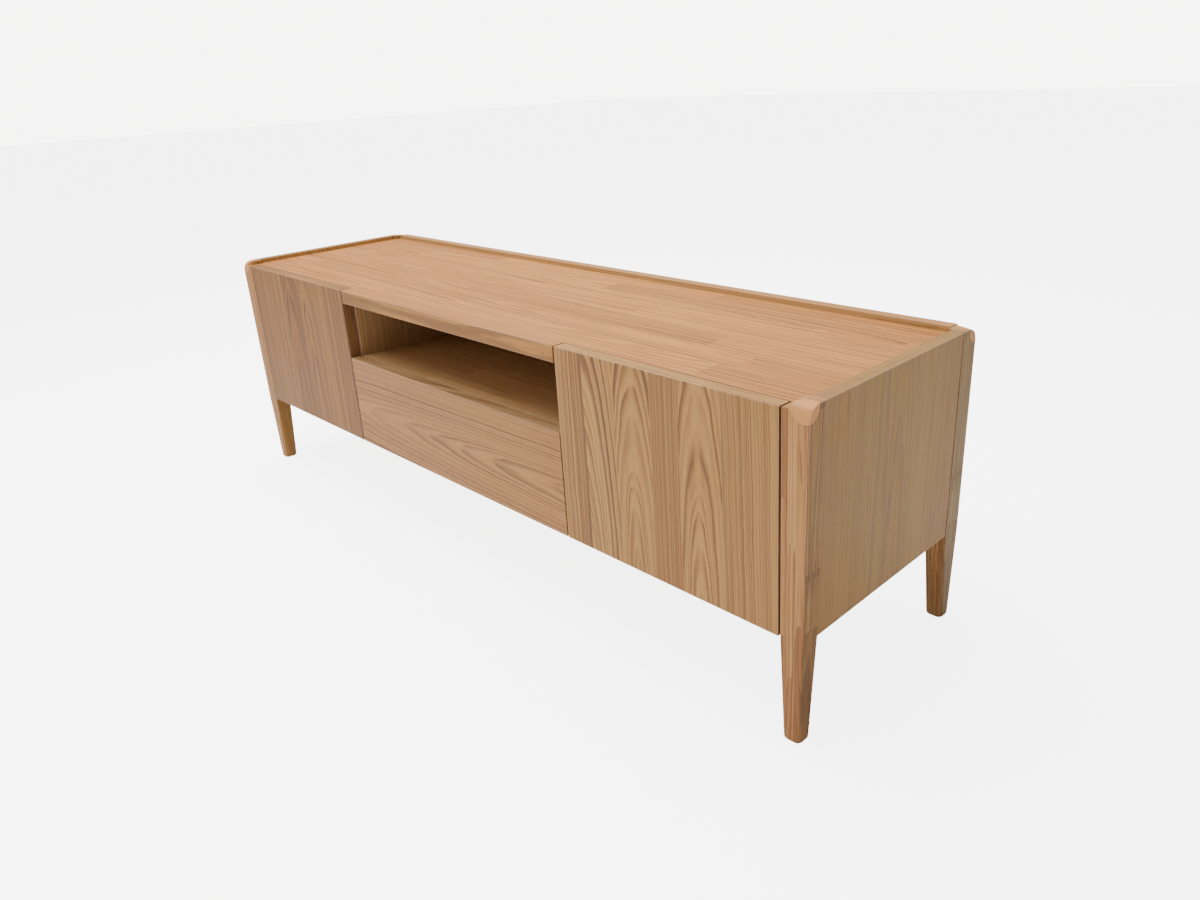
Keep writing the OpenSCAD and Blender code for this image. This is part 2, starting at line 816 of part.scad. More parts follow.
top_panel();
back_rail();
side_panel(-1);  // left_side_panel
side_panel(1);  // right_side_panel
front_leg(-1);  // left_front_leg
front_leg(1);  // right_front_leg
rear_leg(-1);  // left_rear_leg
rear_leg(1);  // right_rear_leg
bottom_panel();
partition(-1);  // left_partition
partition(1);  // right_partition
niche_shelf();
back_panel();
back_panel_screws();
case_dowels();
shelf(-1);  // left_shelf
shelf(1);  // right_shelf
shelf_pins();
hinge_batten(-1);  // left_hinge_batten
hinge_batten(1);  // right_hinge_batten
hinge_plates(-1);  // left_hinge_plates
hinge_plates(1);  // right_hinge_plates
hinge_arms(-1);  // left_hinge_arms
hinge_arms(1);  // right_hinge_arms
hinge_links(-1);  // left_hinge_links
hinge_links(1);  // right_hinge_links
hinge_cups(-1);  // left_hinge_cups
hinge_cups(1);  // right_hinge_cups
cup_screws(-1);  // left_cup_screws
cup_screws(1);  // right_cup_screws
plate_screws();
door(-1);  // left_door
door(1);  // right_door
door_strike(-1);  // left_strike
door_strike(1);  // right_strike
door_latch_body(-1);  // left_latch_body
door_latch_body(1);  // right_latch_body
door_latch_plunger(-1);  // left_latch_plunger
door_latch_plunger(1);  // right_latch_plunger
drawer_latch_body();
drawer_latch_plunger();
drawer_strike();
drawer_front();
drawer_box_front();
drawer_side(-1);  // drawer_left_side
drawer_side(1);  // drawer_right_side
drawer_back();
drawer_bottom();
drawer_front_screws();
case_runners();
middle_runners();
drawer_runners();
case_runner_screws();
drawer_runner_screws();
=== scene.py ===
import math

import bpy
from mathutils import Matrix, Vector


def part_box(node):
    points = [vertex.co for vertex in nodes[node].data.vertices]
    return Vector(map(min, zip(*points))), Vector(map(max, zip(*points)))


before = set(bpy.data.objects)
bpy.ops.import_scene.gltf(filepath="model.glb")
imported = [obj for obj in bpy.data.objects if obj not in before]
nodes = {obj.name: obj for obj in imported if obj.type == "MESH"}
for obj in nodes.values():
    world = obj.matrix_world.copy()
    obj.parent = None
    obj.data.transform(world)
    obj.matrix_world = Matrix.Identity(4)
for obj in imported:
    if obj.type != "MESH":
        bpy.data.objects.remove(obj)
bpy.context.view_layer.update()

# ---- Camera, floor and light ---------------------------------------------------------

CAMERA_PLACE = Vector((1.285, -0.983, 0.824))
CAMERA_TURN = math.radians(45.54)
CAMERA_TILT = math.radians(-19.45)
CAMERA_ROLL = math.radians(-2.84)
CAMERA_LENS = 27.23
CAMERA_SHIFT = (-0.0346, -0.0502)

FLOOR_SPAN = 40
FLOOR_PAINT = (0.93, 0.93, 0.93, 1)
SKY_COLOUR = (1.0, 0.985, 0.965, 1)
# The sky's light on the object, and the whiteness of sky and floor as they are seen
SKY_LIGHT, SKY_SEEN, FLOOR_GLOW = 0.75, 7.0, 5.0


def place_camera():
    data = bpy.data.cameras.new("camera")
    data.sensor_width = 36
    data.lens = CAMERA_LENS
    data.shift_x, data.shift_y = CAMERA_SHIFT
    data.clip_start = 0.01
    camera = bpy.data.objects.new("camera", data)
    bpy.context.scene.collection.objects.link(camera)
    turn = Matrix.Rotation(CAMERA_TURN, 4, "Z")
    tilt = Matrix.Rotation(math.pi / 2 + CAMERA_TILT, 4, "X")
    roll = Matrix.Rotation(CAMERA_ROLL, 4, "Z")
    camera.matrix_world = Matrix.Translation(CAMERA_PLACE) @ turn @ tilt @ roll
    bpy.context.scene.camera = camera


def area_light(name, place, aim, size, power, colour):
    data = bpy.data.lights.new(name, "AREA")
    data.shape = "RECTANGLE"
    data.size, data.size_y = size
    data.energy = power
    data.color = colour
    light = bpy.data.objects.new(name, data)
    bpy.context.scene.collection.objects.link(light)
    way = Vector(aim) - Vector(place)
    light.location = place
    light.rotation_euler = way.to_track_quat("-Z", "Y").to_euler()


def lay_floor():
    bpy.ops.mesh.primitive_plane_add(size=FLOOR_SPAN, location=(0, 0, 0))
    floor = bpy.context.object
    floor.name = "floor"
    material = bpy.data.materials.new("floor_paint")
    material.use_nodes = True
    tree = material.node_tree
    shader = tree.nodes["Principled BSDF"]
    shader.inputs["Base Color"].default_value = FLOOR_PAINT
    shader.inputs["Roughness"].default_value = 0.8
    shader.inputs["Emission Color"].default_value = (1, 1, 1, 1)
    seen = tree.nodes.new("ShaderNodeLightPath").outputs["Is Camera Ray"]
    glow = tree.nodes.new("ShaderNodeMath")
    glow.operation = "MULTIPLY"
    glow.inputs[1].default_value = FLOOR_GLOW
    tree.links.new(seen, glow.inputs[0])
    tree.links.new(glow.outputs[0], shader.inputs["Emission Strength"])
    floor.data.materials.append(material)


def light_studio():
    world = bpy.data.worlds.new("studio")
    world.use_nodes = True
    tree = world.node_tree
    sky = tree.nodes["Background"]
    sky.inputs["Color"].default_value = SKY_COLOUR
    seen = tree.nodes.new("ShaderNodeLightPath").outputs["Is Camera Ray"]
    strength = tree.nodes.new("ShaderNodeMapRange")
    strength.inputs["To Min"].default_value = SKY_LIGHT
    strength.inputs["To Max"].default_value = SKY_SEEN
    tree.links.new(seen, strength.inputs["Value"])
    tree.links.new(strength.outputs["Result"], sky.inputs["Strength"])
    bpy.context.scene.world = world
    area_light("ceiling", (-0.5, -0.2, 2.9), (0, 0, 0.3), (2.8, 2.0), 175, (1.0, 0.98, 0.95))
    area_light("window", (-1.6, -2.8, 1.9), (0, 0, 0.2), (2.0, 1.6), 26, (1.0, 0.96, 0.92))


place_camera()
lay_floor()
light_studio()

# ---- Small helpers for shader nodes ----------------------------------------------------


def give(tree, socket, value):
    """Links another socket to this one, or sets it to a plain value."""
    if isinstance(value, bpy.types.NodeSocket):
        tree.links.new(value, socket)
    else:
        socket.default_value = value


def put(tree, kind, inputs=None, **settings):
    """Adds a shader node, sets what it is and links or sets its inputs."""
    node = tree.nodes.new("ShaderNode" + kind)
    for name, value in settings.items():
        setattr(node, name, value)
    for name, value in (inputs or {}).items():
        give(tree, node.inputs[name], value)
    return node


def maths(tree, operation, *values):
    return put(tree, "Math", dict(enumerate(values)), operation=operation).outputs[0]


def add(tree, first, second):
    return maths(tree, "ADD", first, second)


def less(tree, first, second):
    return maths(tree, "SUBTRACT", first, second)


def times(tree, first, second):
    return maths(tree, "MULTIPLY", first, second)


def over(tree, first, second):
    return maths(tree, "DIVIDE", first, second)


def unsigned(tree, value):
    return maths(tree, "ABSOLUTE", value)


def vectors(tree, operation, *values):
    return put(tree, "VectorMath", dict(enumerate(values)), operation=operation).outputs[0]


def scaled(tree, vector, scale):
    return put(tree, "VectorMath", {0: vector, "Scale": scale}, operation="SCALE").outputs[0]


def distance(tree, first, second):
    return put(tree, "VectorMath", {0: first, 1: second}, operation="DISTANCE").outputs["Value"]


def joined(tree, x, y, z=0.0):
    return put(tree, "CombineXYZ", {0: x, 1: y, 2: z}).outputs[0]


def split(tree, vector):
    return put(tree, "SeparateXYZ", {0: vector}).outputs


def noise(tree, vector, detail=2.0, roughness=0.5, output=0):
    parts = {"Vector": vector, "Scale": 1.0, "Detail": detail, "Roughness": roughness}
    return put(tree, "TexNoise", parts).outputs[output]


def lot_of(tree, number):
    """A value from 0 to 1 that belongs to a whole number."""
    return put(tree, "TexWhiteNoise", {"W": number}, noise_dimensions="1D").outputs["Value"]


def carried(tree, value, low, high, to_low=0.0, to_high=1.0, smooth=True):
    """The value carried from low..high to to_low..to_high, and held at the ends."""
    kind = "SMOOTHSTEP" if smooth else "LINEAR"
    parts = {"Value": value, "From Min": low, "From Max": high, "To Min": to_low, "To Max": to_high}
    return put(tree, "MapRange", parts, interpolation_type=kind).outputs["Result"]


def mixed(tree, kind, amount, first, second):
    node = put(tree, "Mix", data_type="RGBA", blend_type=kind)
    for index, value in ((0, amount), (6, first), (7, second)):
        give(tree, node.inputs[index], value)
    return node.outputs[2]


def tinted(tree, colour, mask, share, tint):
    """The colour multiplied by a tint where the mask is, by a share of it."""
    return mixed(tree, "MULTIPLY", times(tree, mask, share), colour, (*tint, 1))


def new_group(name, inputs, outputs):
    """A shader node group with named sockets: its tree, what it is given and what it gives."""
    tree = bpy.data.node_groups.new(name, "ShaderNodeTree")
    for socket, kind, value in inputs:
        made = tree.interface.new_socket(socket, in_out="INPUT", socket_type="NodeSocket" + kind)
        if value is not None:
            made.default_value = value
    for socket, kind in outputs:
        tree.interface.new_socket(socket, in_out="OUTPUT", socket_type="NodeSocket" + kind)
    given = tree.nodes.new("NodeGroupInput").outputs
    gives = tree.nodes.new("NodeGroupOutput").inputs
    return tree, given, gives


def use_group(tree, group, inputs):
    node = tree.nodes.new("ShaderNodeGroup")
    node.node_tree = group
    for name, value in inputs.items():
        give(tree, node.inputs[name], value)
    return node.outputs


def new_material(name):
    """A material with its tree, its Principled shader and its texture coordinates."""
    material = bpy.data.materials.new(name)
    material.use_nodes = True
    tree = material.node_tree
    return material, tree, tree.nodes["Principled BSDF"], put(tree, "TexCoord").outputs


# ---- Wood: staves, growth rings, fibres, pores, and rubbed edges with painted highlights ---


def staves_group():
    """Splits a glued board into staves, each with a lot of its own that sets where its pith lies.
    Board is (across the grain, along the grain, into the board), in metres. Finger is how far the
    rounded end of a stave reaches into the next."""
    tree, given, gives = new_group(
        "staves",
        [("Board", "Vector", None), ("Width", "Float", 0.06), ("Length", "Float", 3.0),
         ("Finger", "Float", 0.0), ("Seed", "Float", 0.0)],
        [("Lot", "Vector"), ("Tone", "Float"), ("Across", "Float"), ("Along", "Float"), ("Joint", "Float")])
    across, along = split(tree, given["Board"])[:2]
    cell = add(tree, over(tree, across, given["Width"]), given["Seed"])
    stave = maths(tree, "FLOOR", cell)
    off_middle = less(tree, maths(tree, "FRACT", cell), 0.5)
    tip = times(tree, times(tree, off_middle, off_middle), times(tree, given["Finger"], 4.0))
    run = over(tree, add(tree, along, tip), given["Length"])
    length_cell = add(tree, run, times(tree, lot_of(tree, stave), 7.0))
    off_centre = less(tree, maths(tree, "FRACT", length_cell), 0.5)
    own = joined(tree, stave, maths(tree, "FLOOR", length_cell), given["Seed"])
    lot = put(tree, "TexWhiteNoise", {"Vector": own}, noise_dimensions="3D").outputs
    to_side = times(tree, less(tree, 0.5, unsigned(tree, off_middle)), given["Width"])
    to_end = times(tree, less(tree, 0.5, unsigned(tree, off_centre)), given["Length"])
    joint = carried(tree, maths(tree, "MINIMUM", to_side, to_end), 0.0001, 0.0006, 1.0, 0.0)
    tree.links.new(lot["Color"], gives["Lot"])
    tree.links.new(lot["Value"], gives["Tone"])
    tree.links.new(times(tree, off_middle, given["Width"]), gives["Across"])
    tree.links.new(times(tree, off_centre, given["Length"]), gives["Along"])
    tree.links.new(joint, gives["Joint"])
    return tree


def rings_group():
    """Year rings round a pith line that slants through the board: where the line comes near the
    face they show as cathedrals, and further off as straight grain."""
    tree, given, gives = new_group(
        "growth_rings",
        [("Across", "Float", 0.0), ("Along", "Float", 0.0), ("Board", "Vector", None), ("Shift", "Vector", None),
         ("Depth", "Float", 0.03), ("Slant", "Float", 0.03), ("Gap", "Float", 0.004),
         ("Wander", "Float", 0.004), ("Late", "Float", 0.3)],
        [("Ring", "Float"), ("Early", "Float")])
    into, gap = split(tree, given["Board"])[2], given["Gap"]
    broad = vectors(tree, "ADD", vectors(tree, "MULTIPLY", given["Board"], (9.0, 2.2, 9.0)), given["Shift"])
    close = vectors(tree, "ADD", vectors(tree, "MULTIPLY", given["Board"], (80.0, 14.0, 80.0)), given["Shift"])
    sway = split(tree, noise(tree, broad, 2.0, 0.5, "Color"))
    jag = split(tree, noise(tree, close, 3.0, 0.6, "Color"))
    offs = []
    for axis in (0, 1):
        wide = times(tree, less(tree, sway[axis], 0.5), given["Wander"])
        fine = times(tree, less(tree, jag[axis], 0.5), times(tree, gap, 0.75))
        offs.append(add(tree, wide, fine))
    aside = add(tree, given["Across"], offs[0])
    deep = add(tree, add(tree, into, given["Depth"]), times(tree, given["Slant"], given["Along"]))
    deep = add(tree, deep, offs[1])
    radius = maths(tree, "SQRT", add(tree, times(tree, aside, aside), times(tree, deep, deep)))
    seasons = put(tree, "TexNoise", {"W": times(tree, radius, 60.0), "Scale": 1.0, "Detail": 2.0},
                  noise_dimensions="1D").outputs[0]
    shifted = add(tree, split(tree, given["Shift"])[0], times(tree, seasons, 4.0))
    phase = add(tree, over(tree, radius, gap), shifted)
    turn = maths(tree, "FRACT", phase)
    year = lot_of(tree, maths(tree, "FLOOR", phase))
    late = times(tree, carried(tree, turn, given["Late"], 0.86), carried(tree, turn, 0.88, 1.0, 1.0, 0.0))
    flame = carried(tree, unsigned(tree, aside), 0.0, times(tree, gap, 1.6), 0.3, 1.0)
    strength = times(tree, flame, carried(tree, year, 0, 1, 0.35, 1.0, False))
    tree.links.new(times(tree, late, strength), gives["Ring"])
    tree.links.new(carried(tree, turn, 0.0, 0.35, 1.0, 0.0), gives["Early"])
    return tree


def fibres_group():
    """Fine streaks, open pores, faint clouds and bands, all drawn out along the grain."""
    tree, given, gives = new_group(
        "fibres", [("Board", "Vector", None)],
        [("Streak", "Float"), ("Pore", "Float"), ("Cloud", "Float"), ("Band", "Float")])

    def drawn_out(across, along, detail, roughness):
        return noise(tree, vectors(tree, "MULTIPLY", given["Board"], (across, along, across)), detail, roughness)

    tree.links.new(carried(tree, drawn_out(600.0, 12.0, 3.0, 0.6), 0.3, 0.7), gives["Streak"])
    tree.links.new(carried(tree, drawn_out(1900.0, 110.0, 1.0, 0.4), 0.58, 0.7), gives["Pore"])
    tree.links.new(carried(tree, drawn_out(24.0, 3.0, 3.0, 0.5), 0.3, 0.7), gives["Cloud"])
    tree.links.new(carried(tree, drawn_out(110.0, 2.5, 2.0, 0.5), 0.35, 0.65), gives["Band"])
    return tree


def edges_group():
    """A mask along the arrises of a board, whose two far corners are given."""
    tree, given, gives = new_group(
        "rubbed_highlit_edges",
        [("Place", "Vector", None), ("Low", "Vector", None), ("High", "Vector", None), ("Width", "Float", 0.002)],
        [("Edge", "Float")])
    near = vectors(tree, "MINIMUM", vectors(tree, "SUBTRACT", given["Place"], given["Low"]),
                   vectors(tree, "SUBTRACT", given["High"], given["Place"]))
    x, y, z = split(tree, near)
    least = maths(tree, "MINIMUM", maths(tree, "MINIMUM", x, y), z)
    most = maths(tree, "MAXIMUM", maths(tree, "MAXIMUM", x, y), z)
    middle = less(tree, add(tree, add(tree, x, y), z), add(tree, least, most))
    worn = carried(tree, noise(tree, scaled(tree, given["Place"], 60.0), 3.0), 0.3, 0.7, 0.4, 1.4, False)
    share = over(tree, middle, times(tree, given["Width"], worn))
    tree.links.new(carried(tree, share, 0.2, 1.0, 1.0, 0.0), gives["Edge"])
    return tree


STAVES, RINGS, FIBRES, EDGES = staves_group(), rings_group(), fibres_group(), edges_group()
# For each run of the grain: which axis goes across, along and into the board
GRAIN = {"x": (1, 0, 2), "x_front": (2, 0, 1), "z": (0, 2, 1), "z_side": (1, 2, 0), "y_side": (2, 1, 0)}
# How far apart the piths and slants of a stave table may lie
PITH_SPAN, SLANT_SPAN = 0.16, 0.32
# Staves up to this length have their cathedrals set from their own middle
SHORT_STAVE = 1.0
LACQUER_ROUGH, LACQUER_SPECULAR = 0.5, 0.35
BAND_TINT, STREAK_TINT, CLOUD_TINT = (0.84, 0.73, 0.62), (0.78, 0.66, 0.54), (0.9, 0.8, 0.72)
PORE_TINT, JOINT_TINT, SEAM_SHADOW_TINT = (0.5, 0.36, 0.26), (0.55, 0.4, 0.3), (0.25, 0.13, 0.08)
RUBBED_HIGHLIGHT_WOOD, KNOT_WOOD = (0.8, 0.62, 0.45, 1), (0.07, 0.024, 0.008, 1)
# The pale cap at the outer corner of a leg's head: how far in from that corner its middle lies,
# how far it reaches, and how broad the line round it is
CAP_INSET, CAP_REACH, CAP_LINE = Vector((0.009, 0.002, 0.004)), 0.019, 0.0008
CAP_WOOD, CAP_STREAK_TINT, CAP_LINE_TINT = (0.58, 0.26, 0.08, 1), (0.8, 0.68, 0.55), (0.4, 0.26, 0.18)


def stave_table(tree, across, low, high, table):
    """Staves of a board that are set one by one. A row of the table is where the stave starts, as a
    share of the width, how far its pith lies across from there, its slant, and its tone from 0 to 1.
    The rows ride in the colours of a ramp."""
    node = tree.nodes.new("ShaderNodeValToRGB")
    node.color_ramp.interpolation = "CONSTANT"
    stops = node.color_ramp.elements
    while len(stops) < len(table):
        stops.new(0.5)
    for stop, (start, pith, slant, tone) in zip(stops, table):
        stop.position = start
        stop.color = ((pith / PITH_SPAN) + 0.5, (slant / SLANT_SPAN) + 0.5, tone, start)
    tree.links.new(carried(tree, across, low, high, 0.0, 1.0, False), node.inputs[0])
    pith, slant, tone = split(tree, node.outputs["Color"])
    start = node.outputs["Alpha"]
    from_start = less(tree, less(tree, across, low), times(tree, start, high - low))
    local = less(tree, from_start, times(tree, less(tree, pith, 0.5), PITH_SPAN))
    slants = times(tree, less(tree, slant, 0.5), SLANT_SPAN)
    return local, slants, tone, joined(tree, times(tree, start, 17.0), 3.0, 5.0)


def knotted(tree, colour, place, streak, knots):
    """Dark knots, each at a point and with a radius."""
    for centre, radius in knots:
        ragged = add(tree, distance(tree, place, centre), times(tree, streak, radius * 0.5))
        knot = carried(tree, ragged, radius * 0.6, radius * 1.5, 0.85, 0.0)
        colour = mixed(tree, "MIX", knot, colour, KNOT_WOOD)
    return colour


def capped(tree, colour, place, streak, box):
    """The cap on a leg, with the fine line round it. The four legs stand alike about the middle, so
    one corner serves them all."""
    low, high = box
    corner = Vector((max(-low.x, high.x), max(-low.y, high.y), high.z))
    off = distance(tree, vectors(tree, "ABSOLUTE", place), tuple(corner - CAP_INSET))
    cap = tinted(tree, CAP_WOOD, streak, 0.5, CAP_STREAK_TINT)
    colour = mixed(tree, "MIX", carried(tree, off, CAP_REACH, CAP_REACH + CAP_LINE, 0.9, 0.0), colour, cap)
    line = unsigned(tree, less(tree, off, CAP_REACH + CAP_LINE))
    return mixed(tree, "MULTIPLY", carried(tree, line, 0.0, CAP_LINE, 0.5, 0.0), colour, (*CAP_LINE_TINT, 1))


def wood(name, grain, box, light, dark, facing=1.0, contrast=0.8, tone=0.2, gap=0.0035, depth=0.03,
         slant=0.03, wander=0.01, spread=0.06, width=0.06, length=3.0, finger=0.0, seed=0.0, table=None,
         streaks=0.3, clouds=0.35, bands=0.3, tight=1.0, late=0.25, ends=0.5, flank=None, knots=(),
         cap=False, seam=0.0):
    """A lacquered board. grain names how its fibres run, box its two far corners, and facing the side
    of the board, plus or minus, that looks away from the pith. The flank tint is painted shade on the
    faces of its long edges, set by which way they face; ends is how much end grain shows, and seam is
    how far from its far edge the painted shadow of a seam starts."""
    material, tree, shader, coordinates = new_material(name)
    place = coordinates["Object"]
    parts, normal = split(tree, place), split(tree, coordinates["Normal"])
    across, along, into = GRAIN[grain]
    face = box[1][into] if facing > 0 else -box[0][into]
    board = joined(tree, parts[across], parts[along], less(tree, times(tree, parts[into], facing), face))

    # Staves and the rings in them
    if table:
        local, slants, tones, shift = stave_table(tree, parts[across], box[0][across], box[1][across], table)
        run, joints = parts[along], None
    else:
        stave = use_group(tree, STAVES, {"Board": board, "Width": width, "Length": length, "Finger": finger,
                                         "Seed": seed})
        lots = split(tree, stave["Lot"])
        local = less(tree, stave["Across"], times(tree, less(tree, lots[0], 0.5), spread))
        slants = times(tree, less(tree, lots[1], 0.5), 2 * slant)
        shift = scaled(tree, stave["Lot"], 11.0)
        tones, joints = stave["Tone"], stave["Joint"]
        run = stave["Along"] if length < SHORT_STAVE else parts[along]
    if tight != 1.0:
        local = add(tree, local, times(tree, maths(tree, "MAXIMUM", local, 0.0), tight - 1))
    ring = use_group(tree, RINGS, {"Across": local, "Along": run, "Board": board, "Shift": shift, "Depth": depth,
                                   "Slant": slants, "Gap": gap, "Wander": wander, "Late": late})
    fibre = use_group(tree, FIBRES, {"Board": vectors(tree, "ADD", board, shift)})
    edge = use_group(tree, EDGES, {"Place": place, "Low": tuple(box[0]), "High": tuple(box[1])})

    # Colour
    colour = mixed(tree, "MIX", times(tree, ring["Ring"], contrast), (*light, 1), (*dark, 1))
    colour = tinted(tree, colour, fibre["Band"], bands, BAND_TINT)
    colour = tinted(tree, colour, fibre["Streak"], streaks, STREAK_TINT)
    colour = tinted(tree, colour, fibre["Cloud"], clouds, CLOUD_TINT)
    dull, bright = (1 - 0.8 * tone, 1 - tone, 1 - 1.2 * tone, 1), (1 + 0.4 * tone, 1 + 0.5 * tone, 1 + 0.5 * tone, 1)
    colour = mixed(tree, "MULTIPLY", 1.0, colour, mixed(tree, "MIX", tones, dull, bright))
    open_pores = add(tree, times(tree, ring["Early"], 0.35), 0.12)
    colour = tinted(tree, colour, fibre["Pore"], open_pores, PORE_TINT)
    if joints is not None:
        colour = tinted(tree, colour, joints, 0.3, JOINT_TINT)
    # Painted shade: the faces of the long edges are tinted by which way they face
    if flank:
        sideways = carried(tree, unsigned(tree, normal[across]), 0.6, 0.9)
        colour = mixed(tree, "MULTIPLY", sideways, colour, (*flank, 1))
    layered = joined(tree, times(tree, parts[across], 5.0), times(tree, parts[into], 380.0))
    layers = carried(tree, noise(tree, layered, 3.0, 0.6), 0.35, 0.7)
    end_grain = mixed(tree, "MIX", layers, (*light, 1), (*dark, 1))
    end = carried(tree, unsigned(tree, normal[along]), 0.75, 0.95)
    colour = mixed(tree, "MIX", times(tree, end, ends), colour, end_grain)
    # Painted highlight, partly wear: the arrises are screened lighter
    colour = mixed(tree, "SCREEN", times(tree, edge["Edge"], 0.1), colour, RUBBED_HIGHLIGHT_WOOD)
    colour = knotted(tree, colour, place, fibre["Streak"], knots)
    if cap:
        colour = capped(tree, colour, place, fibre["Streak"], box)
    # Painted shadow in the seam groove along the far edge
    if seam:
        before_seam = less(tree, box[1][across] - seam, parts[across])
        shadow = carried(tree, before_seam, -0.0004, 0.0, 0.9, 0.0)
        colour = mixed(tree, "MULTIPLY", shadow, colour, (*SEAM_SHADOW_TINT, 1))
    tree.links.new(colour, shader.inputs["Base Color"])

    # Sheen and relief of the lacquered surface
    sheen = less(tree, times(tree, fibre["Streak"], 0.08), times(tree, ring["Ring"], 0.06))
    sheen = less(tree, sheen, times(tree, edge["Edge"], 0.08))
    tree.links.new(add(tree, sheen, LACQUER_ROUGH), shader.inputs["Roughness"])
    hollow = add(tree, times(tree, fibre["Streak"], 0.35), fibre["Pore"])
    relief = less(tree, times(tree, ring["Ring"], 0.5), hollow)
    bump = put(tree, "Bump", {"Height": relief, "Distance": 0.00012, "Strength": 0.5})
    tree.links.new(bump.outputs[0], shader.inputs["Normal"])
    shader.inputs["Specular IOR Level"].default_value = LACQUER_SPECULAR
    return material


def ease(piece, width):
    """Takes the sharp arris off a board, inside its own outline."""
    weld = piece.modifiers.new("weld", "WELD")
    weld.merge_threshold = 0.00001
    bevel = piece.modifiers.new("eased_edges", "BEVEL")
    bevel.width = width
    bevel.segments = 2
    bevel.limit_method = "ANGLE"
    bevel.angle_limit = math.radians(50)
    bevel.harden_normals = False


def dress(names, material_for, edge=0.0):
    """Gives each node a material of its own and, where asked, eased edges."""
    for name in names:
        piece = nodes[name]
        piece.data.materials.clear()
        piece.data.materials.append(material_for(name))
        if edge:
            ease(piece, edge)


def boards(names, grain, edge=0.0008, **look):
    dress(names, lambda name: wood(name + "_wood", grain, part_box(name), **look), edge)


def both(name):
    return ["left_" + name, "right_" + name]


TOP = dict(light=(0.56, 0.252, 0.062), dark=(0.21, 0.084, 0.017))
DOOR = dict(light=(0.445, 0.235, 0.066), dark=(0.14, 0.054, 0.010))
SHADED_DOOR = dict(light=(0.315, 0.146, 0.035), dark=(0.095, 0.034, 0.006))
DRAWER = dict(light=(0.43, 0.208, 0.062), dark=(0.14, 0.052, 0.011))
SIDE = dict(light=(0.33, 0.183, 0.05), dark=(0.18, 0.085, 0.021))
LEG = dict(light=(0.50, 0.255, 0.082), dark=(0.17, 0.062, 0.015))
REAR_LEG = dict(light=(0.45, 0.265, 0.105), dark=(0.18, 0.08, 0.026))
INSIDE = dict(light=(0.40, 0.26, 0.12), dark=(0.24, 0.13, 0.05))

# Each row: start of the stave, where its pith lies, its slant and its tone
RIGHT_DOOR = [(0.0, -0.05, 0.01, 0.6), (0.075, -0.06, 0.01, 0.2), (0.14, -0.01, -0.15, 0.85),
              (0.30, 0.034, -0.13, 0.75), (0.47, -0.06, 0.01, 0.1), (0.60, 0.03, -0.12, 0.8),
              (0.78, -0.05, -0.1, 0.5)]
LEFT_DOOR = [(0.0, -0.06, 0.01, 0.5), (0.17, 0.07, 0.02, 0.8), (0.34, 0.03, -0.12, 0.2),
             (0.52, 0.03, -0.1, 0.6), (0.70, -0.05, 0.02, 0.8), (0.86, 0.06, 0.01, 0.35)]
DRAWER_FRONT = [(0.0, 0.079, -0.058, 0.6)]

# Knots in the top's front edge, over the right end of the drawer: how far in from that end, how far
# down from the top, and the radius
TOP_KNOTS = [(0.0055, 0.0165, 0.0014), (0.0115, 0.0155, 0.0011), (0.0225, 0.0145, 0.0016), (0.0365, 0.0125, 0.0009)]
RAIL_KNOT_X, RAIL_KNOT_DOWN, RAIL_KNOT_RADIUS = -0.15, 0.004, 0.002


def top_knots():
    low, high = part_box("top_panel")
    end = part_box("drawer_front")[1].x
    return [((end - inward, low.y, high.z - down), radius) for inward, down, radius in TOP_KNOTS]


def rail_knot():
    low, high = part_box("back_rail")
    return [((RAIL_KNOT_X, low.y, high.z - RAIL_KNOT_DOWN), RAIL_KNOT_RADIUS)]


boards(["top_panel"], "x", **TOP, contrast=0.9, tone=0.16, width=0.052, length=0.6, gap=0.0055, depth=0.014,
       slant=0.06, spread=0.07, wander=0.018, seed=3.3, streaks=0.7, bands=0.7, late=0.2,
       flank=(0.92, 1.04, 1.0), knots=top_knots())
boards(["back_rail"], "x", **LEG, contrast=0.5, tone=0.15, width=0.3, length=0.6, gap=0.003, depth=0.05,
       seed=9.5, flank=(0.92, 1.12, 1.3), knots=rail_knot())
DOOR_FIGURE = dict(facing=-1.0, contrast=1.0, tone=0.3, gap=0.0058, wander=0.014, bands=0.55, late=0.1,
                   ends=0.95, flank=(0.72, 0.78, 1.2))
boards(["right_door"], "z", **DOOR, **DOOR_FIGURE, depth=0.013, table=RIGHT_DOOR)
boards(["left_door"], "z", **SHADED_DOOR, **DOOR_FIGURE, depth=0.015, table=LEFT_DOOR)
boards(["drawer_front"], "x_front", facing=-1.0, **DRAWER, contrast=1.0, tone=0.05, depth=0.042, gap=0.005,
       wander=0.01, table=DRAWER_FRONT, tight=1.4, late=0.15, flank=(0.75, 0.95, 1.5))
boards(both("side_panel"), "z_side", **SIDE, contrast=0.65, tone=0.08, width=0.062, gap=0.0045, depth=0.03,
       slant=0.02, spread=0.08, wander=0.008, seed=1.3, seam=0.0022)
boards(both("partition"), "z_side", **INSIDE, flank=(0.8, 0.7, 0.8), contrast=0.9, tone=0.1, width=0.09,
       gap=0.004, depth=0.02, slant=0.02, spread=0.1, seed=6.1)
LEG_STRIPS = dict(edge=0.0012, facing=-1.0, contrast=0.9, width=0.0125, length=0.19, finger=0.022, gap=0.003,
                  depth=0.012, slant=0.02, spread=0.05, wander=0.008, seed=2.35, bands=0.6, streaks=0.6,
                  late=0.15, flank=(0.7, 0.78, 0.69), ends=0.6, cap=True)
boards(both("front_leg"), "z", **LEG, **LEG_STRIPS, tone=0.42)
boards(both("rear_leg"), "z", **REAR_LEG, **LEG_STRIPS, tone=0.3)
